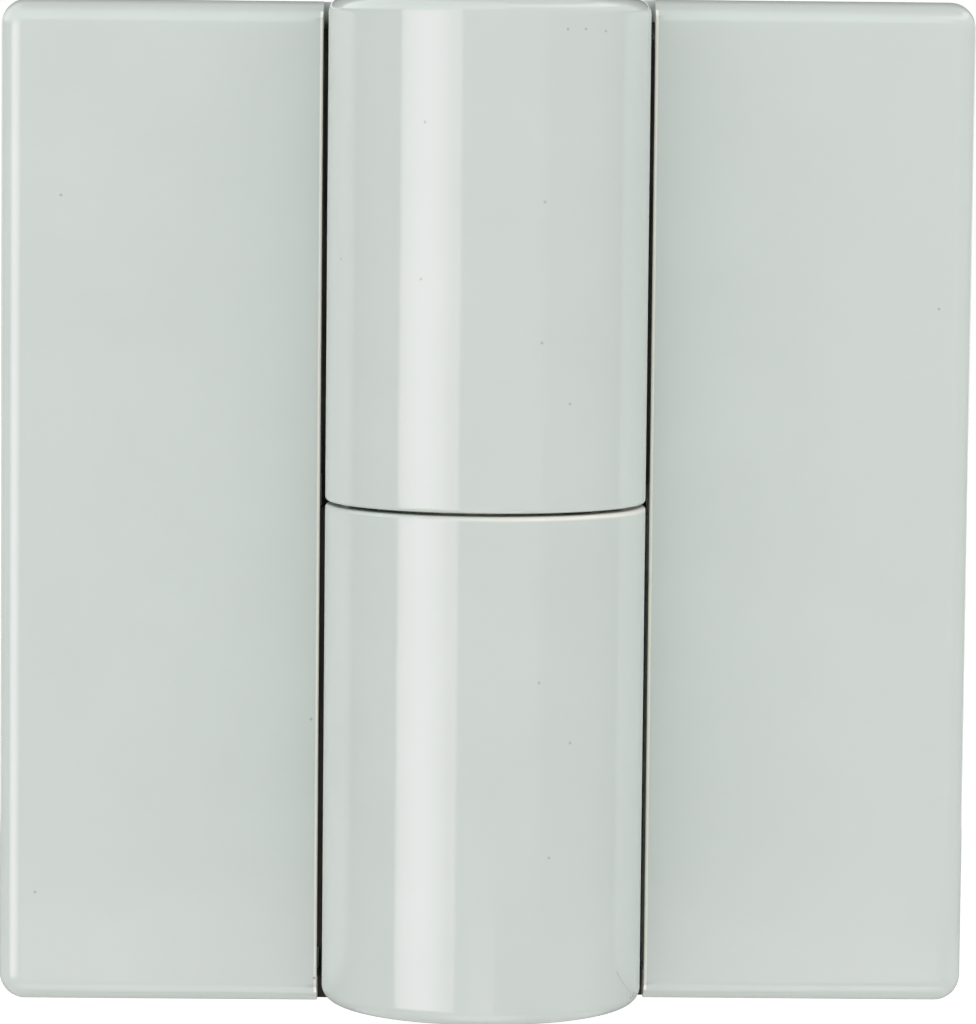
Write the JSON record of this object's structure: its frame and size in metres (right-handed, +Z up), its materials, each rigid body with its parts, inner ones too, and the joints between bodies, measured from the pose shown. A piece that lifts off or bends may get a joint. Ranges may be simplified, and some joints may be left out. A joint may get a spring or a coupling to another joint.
{
  "type": "screw-on door hinge",
  "caption": "Screw-on door hinge: flat steel leaves under glossy grey moulded flap covers, rolled eyes in round sleeves, and a steel pin on which the upper door leaf swings.",
  "frame": {"origin": "on the pin's axis, half-way up the flaps", "axes": "+X along the flaps from the frame leaf to the door leaf, +Y from the front of the hinge to the wall it is screwed to, +Z up along the pin"},
  "size_m": [0.0966, 0.032, 0.1006],
  "materials": {
    "moulded_cover": "glossy moulded nylon, light greenish grey",
    "leaf_sheet": "dark phosphated sheet steel",
    "pin_steel": "ground steel bar",
    "bearing_plastic": "unfilled bearing plastic, off-white"
  },
  "bodies": {
    "frame": {"frame_leaf": "leaf_sheet", "frame_cover": "moulded_cover", "lower_sleeve": "moulded_cover", "hinge_pin": "pin_steel", "pin_grub_screw": "pin_steel", "thrust_washer": "bearing_plastic"},
    "door": {"door_leaf": "leaf_sheet", "door_cover": "moulded_cover", "upper_sleeve": "moulded_cover", "upper_bush_bottom": "bearing_plastic", "upper_bush_top": "bearing_plastic"}
  },
  "joints": [
    {"name": "door_swing", "type": "hinge", "parent": "frame", "child": "door", "pos_m": [0, 0, 0], "axis": [0, 0, -1], "range_deg": [0, 180]}
  ]
}
